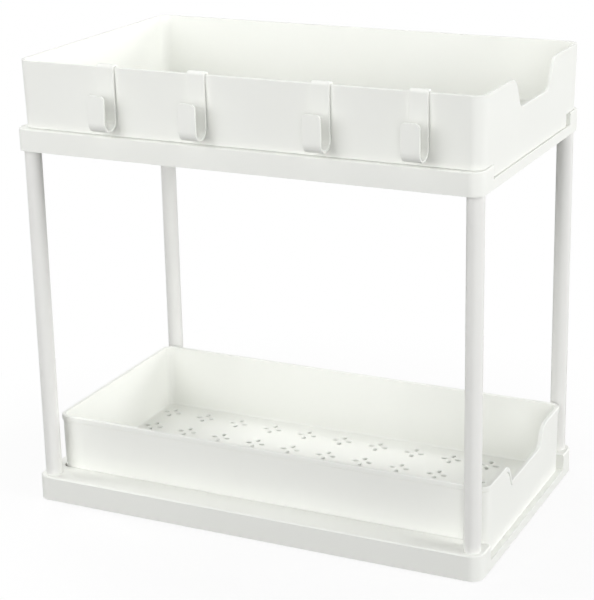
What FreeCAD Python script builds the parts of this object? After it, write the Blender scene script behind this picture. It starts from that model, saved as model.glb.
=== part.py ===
import FreeCAD, Part
import math
import os

from FreeCAD import Vector

# Two-tier cabinet organizer: a base frame and an upper frame joined by four tubes, a drawer
# that pulls out of the base, a tray that pulls out of the upper frame, and hooks on its rim.
# Millimetres, +Z up, +X the end that the trays pull out of, -Y the side with the hooks.
# The origin is on the floor, under the middle of the whole outline, hooks included.

overrun = 2.0

# Frames, seen from above
base_length = 400.0
base_width = 236.0
upper_end_setback = 2.0
upper_side_reach = 1.0
frame_corner_radius = 10.0
frame_edge_bevel = 0.9
skirt_wall = 2.4
deck_wall = 2.4
guide_wall = 2.0
side_ledge = 25.2
end_ledge = 9.5
shelf_thickness = 2.4
shelf_reach = 15.0
end_shelf_reach = 14.0
sill_reach = 16.5
channel_corner_radius = 5.0
under_rib_thickness = 1.6
under_rib_foot = 3.0
under_rib_count = 3

# Frames, heights
pad_proud = 0.8
base_frame_height = 21.2
base_sill_height = 8.2
upper_frame_height = 18.2
upper_sill_height = 8.0
open_bay_height = 284.2

# Tubes and their sockets
leg_radius = 6.8
leg_wall = 1.0
leg_end_inset = 10.5
leg_side_inset = 11.0
socket_clearance = 0.05
socket_depth = 15.2
boss_wall = 1.4

# Feet
pad_side = 13.0
pad_corner_bevel = 2.0
pad_thickness = 2.2
pad_clearance = 0.1

# Sliding trays, shared sizes
run_clearance = 0.3
side_clearance = 0.6
back_clearance = 0.5
tray_wall = 2.5
tray_floor = 2.6
rim_band_height = 4.5
rim_edge_bevel = 0.5
foot_steps = 2
notch_side_lean = 26.0
notch_shoulder_radius = 12.0
notch_foot_radius = 6.0
notch_reach = 24.0

# Lower drawer
drawer_front_setback = 4.6
drawer_rim_height = 59.9
drawer_draft = 0.6
drawer_rim_lip = 1.0
drawer_corner_radius = 8.0
drawer_foot_round = 1.2
drawer_notch_depth = 17.7
drawer_notch_half_width = 35.5

# Upper tray
tray_front_setback = 1.5
tray_back_setback = 5.5
tray_side_setback = 5.0
tray_rim_height = 54.5
tray_draft = 1.5
tray_corner_radius = 9.5
tray_notch_depth = 24.0
tray_notch_half_width = 34.0
seat_gap = 0.3
sunk_foot_round = 1.2
sunk_corner_radius = 7.5

# Drain holes in the drawer's floor
motif_pitch = 35.0
petal_start = 3.2
petal_length = 6.0
petal_width = 4.0
petal_belly_share = 0.58

# Hooks on the upper tray's front rim
hook_width = 15.0
hook_strip = 1.8
hook_rim_gap = 0.35
hook_inside_drop = 16.0
hook_drop = 49.2
hook_opening = 14.2
hook_prong_height = 29.0
hook_tip_bevel = 2.6
hook_bend_share = 0.97
hook_place_shares = (-0.27875, -0.08, 0.17875, 0.3725)

# Worked out from the sizes above
base_bottom = pad_proud
base_top = base_bottom + base_frame_height
base_sill_z = base_bottom + base_sill_height
upper_bottom = base_top + open_bay_height
upper_top = upper_bottom + upper_frame_height
upper_sill_z = upper_bottom + upper_sill_height
upper_length = base_length - 2 * upper_end_setback
upper_width = base_width + 2 * upper_side_reach
channel_half = base_width / 2 - side_ledge
channel_back = -base_length / 2 + end_ledge
hole_back = channel_back + end_shelf_reach
hole_front = base_length / 2 - sill_reach
hole_half = channel_half - shelf_reach
sunk_half = channel_half - side_clearance
sunk_back = channel_back + back_clearance
leg_x = base_length / 2 - leg_end_inset
leg_y = base_width / 2 - leg_side_inset
boss_radius = leg_radius + boss_wall
leg_places = {
    "front_left": (-leg_x, -leg_y),
    "front_right": (leg_x, -leg_y),
    "rear_left": (-leg_x, leg_y),
    "rear_right": (leg_x, leg_y),
}
tray_half = upper_width / 2 - tray_side_setback + tray_draft
tray_rim_z = upper_top + seat_gap + tray_rim_height
hook_outside = tray_half + hook_rim_gap + hook_strip
hook_reach = hook_outside + hook_opening + hook_strip
origin_shift = (hook_reach - upper_width / 2) / 2


def path_edges(points, radii, closed=True):
    """Straight runs through the points, with a tangent arc of each point's radius."""
    count = len(points)
    starts, ends, middles = [], [], []
    for i, corner in enumerate(points):
        before = points[i - 1].sub(corner).normalize()
        after = points[(i + 1) % count].sub(corner).normalize()
        at_end = not closed and i in (0, count - 1)
        if at_end or not radii[i]:
            starts.append(corner)
            ends.append(corner)
            middles.append(None)
            continue
        half_angle = before.getAngle(after) / 2
        reach = radii[i] / math.tan(half_angle)
        bisector = before.add(after).normalize()
        centre = corner.add(bisector * (radii[i] / math.sin(half_angle)))
        starts.append(corner.add(before * reach))
        ends.append(corner.add(after * reach))
        middles.append(centre.sub(bisector * radii[i]))
    edges = []
    for i in range(count):
        if middles[i]:
            edges.append(Part.Arc(starts[i], middles[i], ends[i]).toShape())
        if closed or i < count - 1:
            following = starts[(i + 1) % count]
            if ends[i].distanceToPoint(following) > Part.Precision.confusion():
                edges.append(Part.LineSegment(ends[i], following).toShape())
    return edges


def outline(x_low, x_high, y_half, radius, z):
    """A level rounded rectangle, mirrored across Y = 0."""
    corners = [
        Vector(x_low, -y_half, z),
        Vector(x_high, -y_half, z),
        Vector(x_high, y_half, z),
        Vector(x_low, y_half, z),
    ]
    return Part.Wire(path_edges(corners, [radius] * len(corners)))


def block(x_low, x_high, y_half, radius, z_low, z_high):
    face = Part.Face(outline(x_low, x_high, y_half, radius, z_low))
    return face.extrude(Vector(0, 0, z_high - z_low))


def drafted(x_low, x_high, y_half, radius, z_low, z_high, draft, foot_round=0, rim_bevel=0):
    """A block that flares upwards by the draft on each side, its foot rounded in steps."""
    insets = []
    steps = foot_steps if foot_round else 0
    for step in range(steps):
        angle = math.pi / 2 * step / steps
        insets.append((foot_round * (1 - math.sin(angle)), z_low + foot_round * (1 - math.cos(angle))))
    insets.append((0, z_low + foot_round))
    if rim_bevel:
        insets.append((-draft, z_high - rim_bevel))
    insets.append((rim_bevel - draft, z_high))
    sections = []
    for inset, z in insets:
        sections.append(outline(x_low + inset, x_high - inset, y_half - inset, radius, z))
    return Part.makeLoft(sections, True, True)


def slab(x_low, x_high, y_low, y_high, z_low, z_high):
    corner = Vector(x_low, y_low, z_low)
    return Part.makeBox(x_high - x_low, y_high - y_low, z_high - z_low, corner)


def level_edges(shape, z):
    found = []
    for edge in shape.Edges:
        box = edge.BoundBox
        if max(abs(box.ZMin - z), abs(box.ZMax - z)) < skirt_wall / 100:
            found.append(edge)
    return found


def spread(low, high, count):
    """Evenly spaced places between two ends, the ends left out."""
    return [low + (high - low) * (i + 1) / (count + 1) for i in range(count)]


def frame(length, width, bottom, height, shelf_top, sockets_open_up):
    """A moulded ring: hollow ledges, a sunk channel open at +X, shelves, ribs and sockets."""
    half_length = length / 2
    half_width = width / 2
    top = bottom + height
    shelf_low = shelf_top - shelf_thickness
    ring = block(-half_length, half_length, half_width, frame_corner_radius, bottom, top)
    ring = ring.makeChamfer(frame_edge_bevel, level_edges(ring, top))

    # The channel that the tray runs in, open at the +X end above the sill
    channel_end = half_length + channel_corner_radius + overrun
    channel = block(
        channel_back, channel_end, channel_half, channel_corner_radius, shelf_top, top + overrun
    )
    middle = block(
        hole_back, hole_front, hole_half, channel_corner_radius, bottom - overrun, top + overrun
    )

    # The ledges, the back end and the sill are hollow from below
    inner_x = half_length - skirt_wall
    inner_y = half_width - skirt_wall
    inner_radius = frame_corner_radius - skirt_wall
    deck_low = top - deck_wall
    under = block(-inner_x, inner_x, inner_y, inner_radius, bottom - overrun, deck_low)
    guard = block(
        channel_back - guide_wall,
        channel_end,
        channel_half + guide_wall,
        channel_corner_radius + guide_wall,
        shelf_low,
        top,
    )
    under = under.cut(guard)

    bosses = []
    bores = []
    for x, y in leg_places.values():
        bosses.append(Part.makeCylinder(boss_radius, height - deck_wall / 2, Vector(x, y, bottom)))
        low = top - socket_depth if sockets_open_up else bottom - overrun
        high = top + overrun if sockets_open_up else bottom + socket_depth
        radius = leg_radius + socket_clearance
        bores.append(Part.makeCylinder(radius, high - low, Vector(x, y, low)))
        if sockets_open_up:
            seat = pad_side / 2 + pad_clearance
            bores.append(slab(x - seat, x + seat, y - seat, y + seat, 0, pad_thickness))

    # Ribs under the ledges, from the skirt to the guide wall
    ribs = []
    for x in spread(-leg_x, leg_x, under_rib_count):
        for side in (-1, 1):
            y_low, y_high = sorted((side * (channel_half + guide_wall / 2), side * inner_y))
            ribs.append(
                slab(
                    x - under_rib_thickness / 2,
                    x + under_rib_thickness / 2,
                    y_low,
                    y_high,
                    bottom + under_rib_foot,
                    deck_low + deck_wall / 2,
                )
            )

    ring = ring.cut([under, channel, middle])
    ring = ring.fuse(bosses + ribs)
    ring = ring.cut(bores)
    return ring.removeSplitter()


def notch(front, rim_z, depth, half_width_at_foot):
    """The cutter for the finger notch in a tray's pull end."""
    top_half = half_width_at_foot + depth * math.tan(math.radians(notch_side_lean))
    far = top_half + notch_reach
    foot_z = rim_z - depth
    x = front - notch_reach
    corners = [
        Vector(x, -far, rim_z + overrun),
        Vector(x, -far, rim_z),
        Vector(x, -top_half, rim_z),
        Vector(x, -half_width_at_foot, foot_z),
        Vector(x, half_width_at_foot, foot_z),
        Vector(x, top_half, rim_z),
        Vector(x, far, rim_z),
        Vector(x, far, rim_z + overrun),
    ]
    shoulder, foot = notch_shoulder_radius, notch_foot_radius
    radii = [0, 0, shoulder, foot, foot, shoulder, 0, 0]
    face = Part.Face(Part.Wire(path_edges(corners, radii)))
    return face.extrude(Vector(2 * notch_reach, 0, 0))


def motif_places(length):
    """Places on a centred row of motifs, as many as the length holds."""
    reach = petal_start + petal_length
    count = 1 + int((length - 2 * reach) / motif_pitch)
    return [(i - (count - 1) / 2) * motif_pitch for i in range(count)]


def drain_holes(length, width, floor_low, floor_top):
    """Motifs of four petals each, on a square grid, as prisms through the floor."""
    petals = []
    for x in motif_places(length):
        for y in motif_places(width):
            for turn in range(4):
                petals.append(petal(x, y, turn * math.pi / 2, floor_low, floor_top))
    return Part.makeCompound(petals)


def petal(x, y, angle, floor_low, floor_top):
    along = Vector(math.cos(angle), math.sin(angle), 0)
    across = Vector(-math.sin(angle), math.cos(angle), 0)
    start = Vector(x, y, floor_low - overrun)
    belly = petal_start + petal_length * petal_belly_share
    tips = [
        start.add(along * petal_start),
        start.add(along * belly).add(across * (petal_width / 2)),
        start.add(along * (petal_start + petal_length)),
        start.add(along * belly).sub(across * (petal_width / 2)),
    ]
    face = Part.Face(Part.makePolygon(tips + tips[:1]))
    return face.extrude(Vector(0, 0, floor_top - floor_low + 2 * overrun))


def lower_drawer():
    """A tray with a lipped rim that runs in the base frame's channel."""
    floor_low = base_sill_z + run_clearance
    floor_top = floor_low + tray_floor
    rim_z = floor_low + drawer_rim_height
    band_z = rim_z - rim_band_height
    front = base_length / 2 - drawer_front_setback
    radius = drawer_corner_radius
    body = drafted(
        sunk_back, front, sunk_half, radius, floor_low, rim_z, drawer_draft, drawer_foot_round
    )
    flare = drawer_draft + drawer_rim_lip
    lip = block(sunk_back - flare, front + flare, sunk_half + flare, radius + flare, band_z, rim_z)
    lip = lip.makeChamfer(rim_edge_bevel, level_edges(lip, rim_z))
    room = drafted(
        sunk_back + tray_wall,
        front - tray_wall,
        sunk_half - tray_wall,
        radius - tray_wall,
        floor_top,
        rim_z + overrun,
        drawer_draft,
    )
    pull = notch(front + flare, rim_z, drawer_notch_depth, drawer_notch_half_width)
    shell = body.fuse(lip).cut([room, pull])
    length = front - sunk_back - 2 * tray_wall
    width = 2 * (sunk_half - tray_wall)
    return shell.cut(drain_holes(length, width, floor_low, floor_top)).removeSplitter()


def upper_tray():
    """A wide tray over the ledges, with a sunk middle that runs in the frame's channel."""
    floor_low = upper_sill_z + run_clearance
    floor_top = floor_low + tray_floor
    seat_low = upper_top + seat_gap
    seat_top = seat_low + tray_floor
    back = -upper_length / 2 + tray_back_setback
    front = upper_length / 2 - tray_front_setback
    side = upper_width / 2 - tray_side_setback
    radius = tray_corner_radius
    wide = drafted(
        back,
        front,
        side,
        radius,
        seat_low,
        tray_rim_z,
        tray_draft,
        rim_bevel=rim_edge_bevel,
    )
    sunk = drafted(
        sunk_back, front, sunk_half, sunk_corner_radius, floor_low, seat_top, 0, sunk_foot_round
    )
    room = drafted(
        back + tray_wall,
        front - tray_wall,
        side - tray_wall,
        radius - tray_wall,
        seat_top,
        tray_rim_z + overrun,
        tray_draft,
    )
    well = drafted(
        sunk_back + tray_wall,
        front - tray_wall,
        sunk_half - tray_wall,
        sunk_corner_radius - tray_wall,
        floor_top,
        seat_top + tray_wall,
        0,
    )
    pull = notch(front + tray_draft, tray_rim_z, tray_notch_depth, tray_notch_half_width)
    return wide.fuse(sunk).cut([room, well, pull]).removeSplitter()


def leg(x, y):
    low = base_top - socket_depth
    high = upper_bottom + socket_depth
    tube = Part.makeCylinder(leg_radius, high - low, Vector(x, y, low))
    return tube.cut(Part.makeCylinder(leg_radius - leg_wall, high - low, Vector(x, y, low)))


def foot_pad(x, y):
    half = pad_side / 2
    pad = slab(x - half, x + half, y - half, y + half, 0, pad_thickness)
    upright = [edge for edge in pad.Edges if edge.BoundBox.ZLength > pad_thickness / 2]
    return pad.makeChamfer(pad_corner_bevel, upright)


def strip(points, radii, width):
    """A flat strip of the hook's thickness along a path in the YZ plane, widened along X."""
    half = hook_strip / 2
    sides = []
    for side in (-1, 1):
        moved = []
        bends = []
        for i, point in enumerate(points):
            turn = 0
            runs = []
            if i > 0:
                runs.append(point.sub(points[i - 1]).normalize())
            if i < len(points) - 1:
                runs.append(points[i + 1].sub(point).normalize())
            shift = Vector(0, 0, 0)
            for run in runs:
                shift = shift.add(Vector(0, -run.z, run.y) * (side * half))
            if len(runs) == 2:
                turn = runs[0].cross(runs[1]).x
            moved.append(point.add(shift))
            bends.append(radii[i] - side * half * turn if radii[i] else 0)
        sides.append(path_edges(moved, bends, closed=False))
    ends = []
    for at in (0, -1):
        first = sides[0][at].Vertexes[at].Point
        second = sides[1][at].Vertexes[at].Point
        ends.append(Part.LineSegment(first, second).toShape())
    wire = Part.Wire(Part.__sortEdges__(sides[0] + sides[1] + ends))
    return Part.Face(wire).extrude(Vector(width, 0, 0))


def hook(x):
    """An over-the-rim clip, a strap down the wall and a rounded prong in front of it."""
    half = hook_strip / 2
    outside = half - hook_outside
    lean = tray_draft * hook_inside_drop / tray_rim_height
    inside = -tray_half + tray_wall + lean + hook_rim_gap + half
    top = tray_rim_z + hook_rim_gap + half
    low = tray_rim_z - hook_drop + half
    prong = half - hook_reach
    left = x - hook_width / 2
    corners = [
        Vector(left, inside, top - hook_inside_drop),
        Vector(left, inside, top),
        Vector(left, outside, top),
        Vector(left, outside, low),
        Vector(left, prong, low),
        Vector(left, prong, low + hook_prong_height),
    ]
    bend = hook_bend_share * (outside - prong) / 2
    body = strip(corners, [0, half, half, bend, bend, 0], hook_width)
    tips = []
    for edge in body.Edges:
        box = edge.BoundBox
        across = box.YLength > half and box.ZLength < half and box.XLength < half
        on_prong = abs(box.ZMin - (low + hook_prong_height)) < half and box.YMax < outside - half
        on_clip = abs(box.ZMin - (top - hook_inside_drop)) < half
        if across and (on_prong or on_clip):
            tips.append(edge)
    return body.makeChamfer(hook_tip_bevel, tips)


def export(name, shape):
    shape = shape.translated(Vector(0, origin_shift, 0))
    shape.exportStep("parts/" + name + ".step")
    print(name, "solids", len(shape.Solids), "valid", shape.isValid(), "volume", round(shape.Volume))


os.makedirs("parts", exist_ok=True)
base_frame = frame(base_length, base_width, base_bottom, base_frame_height, base_sill_z, True)
upper_frame = frame(
    upper_length, upper_width, upper_bottom, upper_frame_height, upper_sill_z, False
)
export("base_frame", base_frame)
export("upper_frame", upper_frame)
export("lower_drawer", lower_drawer())
export("upper_tray", upper_tray())
for place, (leg_at_x, leg_at_y) in leg_places.items():
    export("leg_" + place, leg(leg_at_x, leg_at_y))
    export("foot_pad_" + place, foot_pad(leg_at_x, leg_at_y))
for number, share in enumerate(hook_place_shares, 1):
    export("hook_" + str(number), hook(share * base_length))
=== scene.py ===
import math

import bmesh
import bpy
from mathutils import Matrix, Vector


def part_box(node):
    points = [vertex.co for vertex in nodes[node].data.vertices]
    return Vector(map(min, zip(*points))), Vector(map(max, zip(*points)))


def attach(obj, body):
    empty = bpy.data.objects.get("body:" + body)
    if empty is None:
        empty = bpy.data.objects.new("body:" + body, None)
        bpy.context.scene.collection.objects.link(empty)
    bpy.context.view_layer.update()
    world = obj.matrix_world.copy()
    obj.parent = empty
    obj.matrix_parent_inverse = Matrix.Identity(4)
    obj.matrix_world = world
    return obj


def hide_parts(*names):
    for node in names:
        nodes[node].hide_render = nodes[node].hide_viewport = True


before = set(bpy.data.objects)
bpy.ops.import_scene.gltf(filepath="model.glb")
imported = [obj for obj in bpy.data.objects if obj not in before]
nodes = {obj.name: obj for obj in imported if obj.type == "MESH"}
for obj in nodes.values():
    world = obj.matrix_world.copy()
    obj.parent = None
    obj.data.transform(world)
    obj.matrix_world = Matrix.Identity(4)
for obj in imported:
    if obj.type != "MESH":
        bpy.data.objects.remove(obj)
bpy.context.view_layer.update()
mm = 0.001


# Meshes are written in millimetres and stored in metres

meshing = {"weld": 0.002, "sharpAngle": 38.0, "flatAngle": 0.6}


def addFaces(work, points, faces):
    verts = [work.verts.new(Vector(point) * mm) for point in points]
    for face in faces:
        work.faces.new([verts[i] for i in face])


def settle(name, work):
    # An object from the finished mesh, its double points joined and its normals outward
    near = meshing["weld"] * mm
    bmesh.ops.remove_doubles(work, verts=work.verts, dist=near)
    bmesh.ops.dissolve_degenerate(work, edges=work.edges, dist=near)
    bmesh.ops.recalc_face_normals(work, faces=work.faces)
    mesh = bpy.data.meshes.new(name)
    work.to_mesh(mesh)
    work.free()
    mesh.shade_smooth()
    mesh.set_sharp_from_angle(angle=math.radians(meshing["sharpAngle"]))
    piece = bpy.data.objects.new(name, mesh)
    bpy.context.scene.collection.objects.link(piece)
    evenNormals(piece)
    return piece


def meshPiece(name, points, faces):
    work = bmesh.new()
    addFaces(work, points, faces)
    return settle(name, work)


def evenNormals(piece):
    normals = piece.modifiers.new("evenNormals", "WEIGHTED_NORMAL")
    normals.keep_sharp = True
    normals.weight = 100


def dress(piece, material, body, node):
    # The piece stands for its CAD node and moves with the body
    piece.data.materials.append(material)
    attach(piece, body)
    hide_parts(node)


def roundedPath(corners, radii, steps):
    # An open line through the corners, each inner corner turned with its radius
    found = [Vector(corners[0])]
    for i in range(1, len(corners) - 1):
        corner = Vector(corners[i])
        before = (Vector(corners[i - 1]) - corner).normalized()
        after = (Vector(corners[i + 1]) - corner).normalized()
        half = before.angle(after) / 2
        bisector = (before + after).normalized()
        centre = corner + bisector * (radii[i] / math.sin(half))
        start = corner + before * (radii[i] / math.tan(half))
        spoke = start - centre
        turn = math.pi - 2 * half
        side = 1 if after.cross(before) > 0 else -1
        for k in range(steps + 1):
            step = Matrix.Rotation(side * turn * k / steps, 2)
            found.append(centre + step @ spoke)
    found.append(Vector(corners[-1]))
    return found


def roundedBox(back, front, low, high, radius, steps):
    # A rounded rectangle, anticlockwise from the upper end of its front side
    found = []
    for x, y, start in (
        (front - radius, high - radius, 0),
        (back + radius, high - radius, 90),
        (back + radius, low + radius, 180),
        (front - radius, low + radius, 270),
    ):
        for k in range(steps + 1):
            angle = math.radians(start + 90 * k / steps)
            found.append((x + radius * math.cos(angle), y + radius * math.sin(angle)))
    return found


def loft(rows):
    # Quads between rows of equal length, each row a closed loop
    points = [point for row in rows for point in row]
    count = len(rows[0])
    faces = []
    for i in range(len(rows) - 1):
        for j in range(count):
            nextJ = (j + 1) % count
            faces.append(
                (i * count + j, i * count + nextJ, (i + 1) * count + nextJ, (i + 1) * count + j)
            )
    return points, faces


def fillLevel(work, loops, z):
    # A level face bounded by the first loop, with the other loops as holes
    edges = []
    for loop in loops:
        verts = [work.verts.new(Vector((x, y, z)) * mm) for x, y in loop]
        for i, vert in enumerate(verts):
            edges.append(work.edges.new((vert, verts[(i + 1) % len(verts)])))
    bmesh.ops.triangle_fill(work, use_beauty=True, edges=edges, normal=(0, 0, 1))


def notchLine(cut):
    # Places along Y and the drop of the rim there, for a finger notch
    topHalf = cut["footHalf"] + cut["depth"] * math.tan(math.radians(cut["lean"]))
    far = topHalf + cut["reach"]
    corners = [
        (-far, 0),
        (-topHalf, 0),
        (-cut["footHalf"], -cut["depth"]),
        (cut["footHalf"], -cut["depth"]),
        (topHalf, 0),
        (far, 0),
    ]
    shoulder, foot = cut["shoulder"], cut["foot"]
    path = roundedPath(corners, [0, shoulder, foot, foot, shoulder, 0], cut["steps"])
    return [point.x for point in path], [-point.y for point in path]


def quarter(radius, steps):
    # Inset and rise from a flat foot round to an upright wall
    found = []
    for k in range(steps + 1):
        angle = math.pi / 2 * k / steps
        found.append((radius * (1 - math.sin(angle)), radius * (1 - math.cos(angle))))
    return found


def rimTurn(rim, wall):
    # Inset from the outer face and depth below the rim, over the top of a wall
    found = quarter(rim["outer"], rim["steps"])[::-1]
    for inset, depth in quarter(rim["inner"], rim["steps"]):
        found.append((wall - inset, depth))
    return found


class TrayRows:
    # Rows of points up the outside of a tray, over its rim and down the inside
    def __init__(self, cut, steps, middle):
        self.columns, self.drops = notchLine(cut)
        self.steps = steps
        self.middle = middle
        self.rows = []

    def add(self, plan, inset, z, frontInset=None, follows=False):
        # A level row, or one that follows the finger notch in the front wall
        front = plan["front"] - (inset if frontInset is None else frontInset)
        half = plan["half"] - inset
        loop = roundedBox(plan["back"] + inset, front, -half, half, plan["radius"] - inset, self.steps)
        row = [(x, y + self.middle, z) for x, y in loop]
        for y, drop in zip(self.columns, self.drops):
            row.append((front, y + self.middle, z - drop if follows else z))
        self.rows.append(row)

    def flat(self, index):
        return [(x, y) for x, y, z in self.rows[index]]


# Shader helpers

class Wire:
    # A socket whose sums and products add Math nodes
    def __init__(self, board, socket):
        self.board = board
        self.socket = socket

    def combine(self, operation, first, second):
        return self.board.node("ShaderNodeMath", {"operation": operation}, {0: first, 1: second})

    def __add__(self, other):
        return self.combine("ADD", self, other)

    def __radd__(self, other):
        return self.combine("ADD", other, self)

    def __sub__(self, other):
        return self.combine("SUBTRACT", self, other)

    def __rsub__(self, other):
        return self.combine("SUBTRACT", other, self)

    def __mul__(self, other):
        return self.combine("MULTIPLY", self, other)

    def __rmul__(self, other):
        return self.combine("MULTIPLY", other, self)


class Board:
    # One material's nodes
    def __init__(self, name):
        self.material = bpy.data.materials.new(name)
        self.material.use_nodes = True
        self.tree = self.material.node_tree
        self.shader = self.tree.nodes["Principled BSDF"]
        self.surface = self.tree.nodes["Material Output"]

    def node(self, kind, settings, sockets, output=0):
        made = self.tree.nodes.new(kind)
        for key, value in settings.items():
            setattr(made, key, value)
        self.feed(made, sockets)
        return Wire(self, made.outputs[output])

    def feed(self, made, sockets):
        for key, value in sockets.items():
            if isinstance(value, Wire):
                self.tree.links.new(value.socket, made.inputs[key])
            else:
                made.inputs[key].default_value = value

    def noise(self, where, scale, detail, roughness=0.5):
        sockets = {"Vector": where, "Scale": scale, "Detail": detail, "Roughness": roughness}
        return self.node("ShaderNodeTexNoise", {}, sockets)

    def blend(self, share, first, second):
        sockets = {"Factor": share, "A": sRGB(*first), "B": sRGB(*second)}
        return self.node("ShaderNodeMix", {"data_type": "RGBA"}, sockets, "Result")

    def between(self, value, low, high, kind="LINEAR"):
        # Goes from 0 at the low value to 1 at the high one
        sockets = {"Value": value, "From Min": low, "From Max": high}
        return self.node("ShaderNodeMapRange", {"interpolation_type": kind}, sockets)


def sRGB(red, green, blue):
    # A colour in levels of 255, turned to linear light
    channels = []
    for level in (red, green, blue):
        share = level / 255
        channels.append(share / 12.92 if share < 0.04045 else ((share + 0.055) / 1.055) ** 2.4)
    return (*channels, 1.0)


def mouldedPlastic(name, look):
    # Injection moulded plastic: fine spark texture, slow flow bands and faint rubbed patches
    board = Board(name)
    where = board.node("ShaderNodeTexCoord", {}, {}, "Object")
    grain = board.noise(where, look["grainScale"], 3.0, 0.6)
    clouds = board.noise(where, look["cloudScale"], 2.0)
    rubbed = board.noise(where, look["rubScale"], 5.0, 0.65)
    mask = board.between(rubbed, look["rubFrom"], look["rubTo"])
    colour = board.blend(clouds, look["shade"], look["colour"])
    roughness = look["roughness"] + look["roughSpread"] * (mask - 0.5) + look["roughGrain"] * (grain - 0.5)
    bump = board.node(
        "ShaderNodeBump",
        {},
        {
            "Height": grain * look["grainDepth"] + clouds * look["cloudDepth"],
            "Strength": look["bump"],
            "Distance": look["bumpDepth"],
        },
        "Normal",
    )
    board.feed(board.shader, {"Base Color": colour, "Roughness": roughness, "Normal": bump})
    board.feed(board.shader, {"IOR": look["ior"], "Specular IOR Level": look["specular"]})
    return board.material


plasticLook = {
    "colour": (244, 245, 241),
    "shade": (242, 243, 238),
    "grainScale": 900.0,
    "cloudScale": 14.0,
    "rubScale": 55.0,
    "rubFrom": 0.42,
    "rubTo": 0.62,
    "roughness": 0.46,
    "roughSpread": 0.05,
    "roughGrain": 0.08,
    "grainDepth": 0.35,
    "cloudDepth": 1.0,
    "bump": 0.25,
    "bumpDepth": 0.00012,
    "ior": 1.49,
    "specular": 0.3,
}
hookLook = {"cloudScale": 60.0, "roughness": 0.44, "roughSpread": 0.03, "grainDepth": 0.1}
tubeLook = {
    "colour": (238, 238, 235),
    "shade": (235, 235, 232),
    "grainScale": 420.0,
    "cloudScale": 30.0,
    "roughness": 0.36,
}
padLook = {
    "colour": (214, 214, 211),
    "shade": (205, 205, 202),
    "roughness": 0.72,
    "roughSpread": 0.1,
    "bump": 0.5,
}
frameWhite = mouldedPlastic("frameWhite", plasticLook)
trayWhite = mouldedPlastic("trayWhite", plasticLook | {"cloudScale": 11.0, "roughness": 0.42})
hookWhite = mouldedPlastic("hookWhite", plasticLook | hookLook)
tubeCoating = mouldedPlastic("tubeCoating", plasticLook | tubeLook)
padRubber = mouldedPlastic("padRubber", plasticLook | padLook)
print("materials made")


# The two frames and the pads keep their CAD shapes, with softened edges

frameEdges = {"bevel": 0.2, "segments": 2, "angle": 50.0}
padEdges = {"bevel": 0.3, "segments": 2, "angle": 30.0}


def soften(node, edges, material):
    piece = nodes[node]
    piece.data.materials.clear()
    piece.data.materials.append(material)
    weld = piece.modifiers.new("weld", "WELD")
    weld.merge_threshold = meshing["weld"] * mm
    flats = piece.modifiers.new("flats", "DECIMATE")
    flats.decimate_type = "DISSOLVE"
    flats.angle_limit = math.radians(meshing["flatAngle"])
    bevel = piece.modifiers.new("edges", "BEVEL")
    bevel.width = edges["bevel"] * mm
    bevel.segments = edges["segments"]
    bevel.limit_method = "ANGLE"
    bevel.angle_limit = math.radians(edges["angle"])
    bevel.use_clamp_overlap = True
    bevel.harden_normals = True
    evenNormals(piece)


places = ("front_left", "front_right", "rear_left", "rear_right")
for frameName in ("base_frame", "upper_frame"):
    soften(frameName, frameEdges, frameWhite)
for place in places:
    soften("foot_pad_" + place, padEdges, padRubber)
print("frames dressed")


# Tubes between the frames

tube = {"wall": 1.0, "mouth": 0.25, "segments": 72}


def makeTube(node, name):
    low, high = (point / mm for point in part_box(node))
    centre = (low + high) / 2
    radius = (high.x - low.x) / 2
    inner = radius - tube["wall"]
    soft = tube["mouth"]
    profile = [
        (inner, low.z + soft),
        (inner + soft, low.z),
        (radius - soft, low.z),
        (radius, low.z + soft),
        (radius, high.z - soft),
        (radius - soft, high.z),
        (inner + soft, high.z),
        (inner, high.z - soft),
    ]
    rings = []
    for distance, z in profile + profile[:1]:
        ring = []
        for k in range(tube["segments"]):
            angle = 2 * math.pi * k / tube["segments"]
            x = centre.x + distance * math.cos(angle)
            ring.append((x, centre.y + distance * math.sin(angle), z))
        rings.append(ring)
    dress(meshPiece(name, *loft(rings)), tubeCoating, "stand", node)


for place in places:
    makeTube("leg_" + place, "tube_" + place)
print("tubes made")


# The drawer and the tray, whose rounded edges are given as radius and steps

notchShape = {"lean": 26.0, "shoulder": 12.0, "foot": 6.0, "reach": 24.0, "steps": 8}


# Lower drawer, with its lip's turn as shares of the lip and rises from the band

drawer = {
    "wall": 2.5,
    "floor": 2.6,
    "lip": 1.0,
    "lipTurn": ((0.0, -0.9), (0.1, -0.5), (0.65, -0.1), (0.9, 0.15), (1.0, 0.5)),
    "draft": 0.6,
    "band": 4.5,
    "radius": 8.0,
    "cornerSteps": 10,
    "foot": (0.4, 6),
    "innerFoot": (1.6, 5),
    "rim": {"outer": 0.8, "inner": 0.6, "steps": 4},
    "notch": notchShape | {"depth": 17.7, "footHalf": 35.5},
}
drain = {
    "pitch": 35.0,
    "columns": 11,
    "rows": 5,
    "petals": 4,
    "start": 3.5,
    "length": 5.4,
    "width": 3.4,
    "fullness": 0.18,
    "edge": 0.7,
    "points": 14,
}


def petalLoop(x, y, turn, grow):
    # A rounded petal, fuller at its outer end
    found = []
    length = drain["length"] / 2 + grow
    for k in range(drain["points"]):
        angle = 2 * math.pi * k / drain["points"]
        along = drain["start"] + drain["length"] / 2 + math.cos(angle) * length
        across = math.sin(angle) * (drain["width"] / 2 + grow) * (1 + drain["fullness"] * math.cos(angle))
        found.append(
            (
                x + along * math.cos(turn) - across * math.sin(turn),
                y + along * math.sin(turn) + across * math.cos(turn),
            )
        )
    return found


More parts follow.
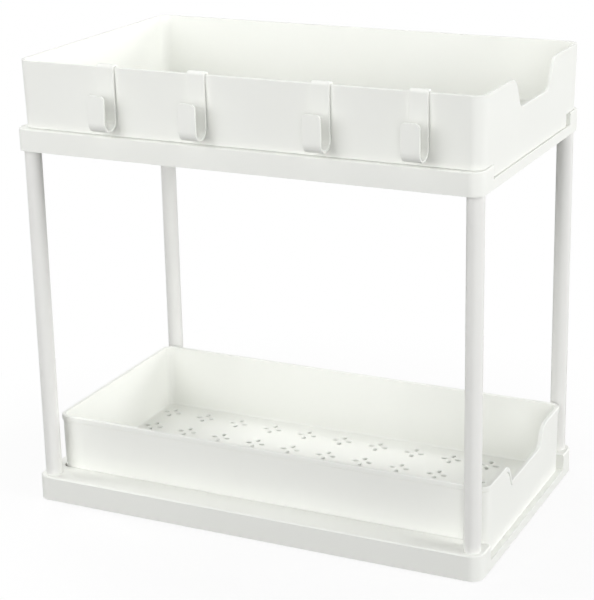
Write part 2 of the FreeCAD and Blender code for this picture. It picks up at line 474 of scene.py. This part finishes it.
def petals(middle, grow):
    found = []
    for column in range(drain["columns"]):
        for row in range(drain["rows"]):
            x = (column - (drain["columns"] - 1) / 2) * drain["pitch"]
            y = (row - (drain["rows"] - 1) / 2) * drain["pitch"] + middle
            for petal in range(drain["petals"]):
                found.append(petalLoop(x, y, 2 * math.pi * petal / drain["petals"], grow))
    return found


def makeDrawer():
    low, high = (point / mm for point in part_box("lower_drawer"))
    flare = drawer["draft"] + drawer["lip"]
    middle = (low.y + high.y) / 2
    plan = {
        "back": low.x + flare,
        "front": high.x - flare,
        "half": high.y - middle - flare,
        "radius": drawer["radius"],
    }
    floorTop = low.z + drawer["floor"]
    band = high.z - drawer["band"]
    shell = TrayRows(drawer["notch"], drawer["cornerSteps"], middle)
    for inset, rise in quarter(*drawer["foot"]):
        shell.add(plan, inset, low.z + rise)
    for share, rise in drawer["lipTurn"]:
        shell.add(plan, -drawer["draft"] - share * drawer["lip"], band + rise, follows=True)
    for inset, depth in rimTurn(drawer["rim"], drawer["wall"] + drawer["lip"]):
        shell.add(plan, inset - flare, high.z - depth, follows=True)
    for inset, rise in reversed(quarter(*drawer["innerFoot"])):
        shell.add(plan, drawer["wall"] + inset, floorTop + rise)
    work = bmesh.new()
    addFaces(work, *loft(shell.rows))
    under, edge = petals(middle, 0.0), petals(middle, drain["edge"])
    fillLevel(work, [shell.flat(0)] + under, low.z)
    fillLevel(work, [shell.flat(-1)] + edge, floorTop)
    for bottom, top in zip(under, edge):
        walls = [
            [(x, y, low.z) for x, y in bottom],
            [(x, y, floorTop - drain["edge"]) for x, y in bottom],
            [(x, y, floorTop) for x, y in top],
        ]
        addFaces(work, *loft(walls))
    dress(settle("drawerShell", work), trayWhite, "lower_drawer", "lower_drawer")


makeDrawer()
print("drawer made")


# Upper tray: a wide part over the frame and a sunk middle in its channel

tray = {
    "wall": 2.5,
    "floor": 2.6,
    "draft": 1.5,
    "radius": 9.5,
    "seatRise": 10.2,
    "sunkHalf": 92.2,
    "sunkBack": -190.0,
    "sunkRadius": 7.5,
    "cornerSteps": 10,
    "sunkFoot": (0.4, 7),
    "wellFoot": (1.2, 6),
    "innerFoot": (1.8, 5),
    "seatEdge": (1.0, 4),
    "rim": {"outer": 0.5, "inner": 0.6, "steps": 4},
    "notch": notchShape | {"depth": 24.0, "footHalf": 34.0},
}


def makeTray():
    low, high = (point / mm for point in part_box("upper_tray"))
    middle = (low.y + high.y) / 2
    wide = {
        "back": low.x + tray["draft"],
        "front": high.x - tray["draft"],
        "half": high.y - middle - tray["draft"],
        "radius": tray["radius"],
    }
    sunk = {
        "back": tray["sunkBack"],
        "front": wide["front"],
        "half": tray["sunkHalf"],
        "radius": tray["sunkRadius"],
    }
    floorTop = low.z + tray["floor"]
    seatLow = low.z + tray["seatRise"]
    seatTop = seatLow + tray["floor"]
    wall = tray["wall"]
    shell = TrayRows(tray["notch"], tray["cornerSteps"], middle)
    for inset, rise in quarter(*tray["sunkFoot"]):
        shell.add(sunk, inset, low.z + rise)
    shell.add(sunk, 0, seatLow)
    shell.add(wide, 0, seatLow)
    for inset, depth in rimTurn(tray["rim"], wall):
        shell.add(wide, inset - tray["draft"], high.z - depth, follows=True)
    for inset, rise in reversed(quarter(*tray["innerFoot"])):
        shell.add(wide, wall + inset, seatTop + rise, frontInset=wall)
    for inset, rise in quarter(*tray["seatEdge"]):
        shell.add(sunk, wall - inset, seatTop - rise, frontInset=wall)
    for inset, rise in reversed(quarter(*tray["wellFoot"])):
        shell.add(sunk, wall + inset, floorTop + rise)
    work = bmesh.new()
    addFaces(work, *loft(shell.rows))
    fillLevel(work, [shell.flat(0)], low.z)
    fillLevel(work, [shell.flat(-1)], floorTop)
    dress(settle("trayShell", work), trayWhite, "upper_tray", "upper_tray")


makeTray()
print("tray made")


# Hooks over the tray's front rim

hook = {
    "count": 4,
    "strip": 1.8,
    "width": 15.0,
    "opening": 14.2,
    "insideDrop": 16.0,
    "prong": 29.0,
    "edge": 0.5,
    "edgeSteps": 3,
    "topBend": 1.7,
    "tip": 3.2,
    "tipSteps": 5,
    "bendShare": 0.97,
    "bendSteps": 10,
}


def makeHook(name):
    low, high = (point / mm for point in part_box(name))
    half = hook["strip"] / 2
    x = (low.x + high.x) / 2
    inside = high.y - half
    prong = low.y + half
    outside = prong + hook["opening"] + hook["strip"]
    top = high.z - half
    foot = low.z + half
    bend = hook["bendShare"] * (outside - prong) / 2
    corners = [
        (inside, top - hook["insideDrop"]),
        (inside, top),
        (outside, top),
        (outside, foot),
        (prong, foot),
        (prong, foot + hook["prong"]),
    ]
    path = roundedPath(corners, [0, hook["topBend"], hook["topBend"], bend, bend, 0], hook["bendSteps"])
    # Both ends narrow to a round tip
    tips = []
    for inset, distance in quarter(hook["tip"], hook["tipSteps"]):
        tips.append((distance, hook["width"] - 2 * inset))
    begin, finish = (path[1] - path[0]).normalized(), (path[-2] - path[-1]).normalized()
    line = [(path[0] + begin * distance, width) for distance, width in tips]
    line += [(point, hook["width"]) for point in path[1:-1]]
    line += [(path[-1] + finish * distance, width) for distance, width in reversed(tips)]
    rows = []
    for i, (point, width) in enumerate(line):
        before = line[max(i - 1, 0)][0]
        after = line[min(i + 1, len(line) - 1)][0]
        along = (after - before).normalized()
        section = roundedBox(-width / 2, width / 2, -half, half, hook["edge"], hook["edgeSteps"])
        rows.append([(x + u, point.x - along.y * v, point.y + along.x * v) for u, v in section])
    points, faces = loft(rows)
    count = len(rows[0])
    faces.append(tuple(range(count)))
    faces.append(tuple(range(len(points) - count, len(points))))
    dress(meshPiece(name + "_strip", points, faces), hookWhite, name, name)


for number in range(1, hook["count"] + 1):
    makeHook("hook_" + str(number))
print("hooks made")


# Camera, fitted to the photo: places and lens in millimetres, angles in degrees

camera = {
    "place": (609.24, -1255.9, 641.0),
    "yaw": 24.484,
    "pitch": 17.44,
    "roll": -0.767,
    "lens": 105.77,
    "sensor": 36.0,
    "shiftX": -0.075,
    "shiftY": -0.0633,
}


def makeCamera():
    yaw, pitch, roll = (math.radians(camera[key]) for key in ("yaw", "pitch", "roll"))
    forward = Vector(
        (-math.sin(yaw) * math.cos(pitch), math.cos(yaw) * math.cos(pitch), -math.sin(pitch))
    )
    level = Vector((math.cos(yaw), math.sin(yaw), 0))
    upright = level.cross(forward)
    right = level * math.cos(roll) + upright * math.sin(roll)
    up = upright * math.cos(roll) - level * math.sin(roll)
    data = bpy.data.cameras.new("camera")
    data.sensor_width = camera["sensor"]
    data.lens = camera["lens"]
    data.shift_x = camera["shiftX"]
    data.shift_y = camera["shiftY"]
    made = bpy.data.objects.new("camera", data)
    bpy.context.scene.collection.objects.link(made)
    turn = Matrix((right, up, -forward)).transposed().to_4x4()
    made.matrix_world = Matrix.Translation(Vector(camera["place"]) * mm) @ turn
    bpy.context.scene.camera = made


makeCamera()


# Floor, in metres: the camera sees it white, with a little of its shading near the object

stage = {
    "size": 12.0,
    "bounce": (150, 150, 150),
    "seen": (250, 250, 250),
    "roughness": 0.9,
    "shadowShare": 0.14,
    "shadowStart": 0.2,
    "shadowReach": 0.42,
}


def makeFloor():
    half = stage["size"] / 2
    mesh = bpy.data.meshes.new("floor")
    corners = [(-half, -half, 0), (half, -half, 0), (half, half, 0), (-half, half, 0)]
    mesh.from_pydata(corners, [], [(0, 1, 2, 3)])
    floor = bpy.data.objects.new("floor", mesh)
    bpy.context.scene.collection.objects.link(floor)
    board = Board("floorWhite")
    path = board.node("ShaderNodeLightPath", {}, {}, "Is Camera Ray")
    tone = board.blend(path, stage["bounce"], stage["seen"])
    board.feed(
        board.shader, {"Base Color": tone, "Roughness": stage["roughness"], "Specular IOR Level": 0.0}
    )
    glow = board.node("ShaderNodeEmission", {}, {"Color": (1, 1, 1, 1), "Strength": 1.0})
    where = board.node("ShaderNodeTexCoord", {}, {}, "Object")
    distance = board.node("ShaderNodeVectorMath", {"operation": "LENGTH"}, {0: where}, "Value")
    nearness = 1 - board.between(distance, stage["shadowStart"], stage["shadowReach"], "SMOOTHSTEP")
    share = path - path * nearness * stage["shadowShare"]
    lit = Wire(board, board.shader.outputs[0])
    mixed = board.node("ShaderNodeMixShader", {}, {0: share, 1: lit, 2: glow})
    board.feed(board.surface, {"Surface": mixed})
    mesh.materials.append(board.material)


def makeWorld():
    # White where the camera or a reflection sees it, and dark otherwise
    world = bpy.data.worlds.new("studio")
    world.use_nodes = True
    bpy.context.scene.world = world
    tree = world.node_tree
    background = tree.nodes["Background"]
    background.inputs["Color"].default_value = (1, 1, 1, 1)
    path = tree.nodes.new("ShaderNodeLightPath")
    seen = tree.nodes.new("ShaderNodeMath")
    seen.operation = "MAXIMUM"
    tree.links.new(path.outputs["Is Camera Ray"], seen.inputs[0])
    tree.links.new(path.outputs["Is Glossy Ray"], seen.inputs[1])
    tree.links.new(seen.outputs[0], background.inputs["Strength"])


# Lamps, all aimed at one point: distances and sizes in metres, angles in degrees, power in watts

aim = (0, 0, 0.2)
farLamp = {"distance": 6.0, "size": 2.6}
lamps = {
    "front": farLamp | {"azimuth": 260, "elevation": 12, "power": 42.0},
    "frontTop": farLamp | {"azimuth": 260, "elevation": 35, "power": 35.0},
    "centreFront": farLamp | {"azimuth": 295, "elevation": 12, "power": 98.0},
    "rightEnd": farLamp | {"azimuth": 0, "elevation": 12, "power": 110.0},
    "right": farLamp | {"azimuth": 0, "elevation": 35, "power": 110.0},
    "rightRear": farLamp | {"azimuth": 45, "elevation": 12, "power": 130.0},
    "left": farLamp | {"azimuth": 180, "elevation": 35, "power": 110.0},
    "rearTop": farLamp | {"azimuth": 135, "elevation": 60, "power": 98.0},
    "nearLeft": {"azimuth": 247.4, "elevation": 22.9, "power": 5.2, "distance": 1.41, "size": 0.8},
}


def makeLamps():
    for name, lamp in lamps.items():
        data = bpy.data.lights.new(name, "AREA")
        data.shape = "DISK"
        data.size = lamp["size"]
        data.energy = lamp["power"]
        made = bpy.data.objects.new(name, data)
        bpy.context.scene.collection.objects.link(made)
        turn, rise = math.radians(lamp["azimuth"]), math.radians(lamp["elevation"])
        away = Vector((math.cos(rise) * math.cos(turn), math.cos(rise) * math.sin(turn), math.sin(rise)))
        made.location = Vector(aim) + away * lamp["distance"]
        made.rotation_mode = "QUATERNION"
        made.rotation_quaternion = (-away).to_track_quat("-Z", "Y")


makeFloor()
makeWorld()
makeLamps()
bpy.context.scene.view_settings.view_transform = "Standard"
print("stage set")
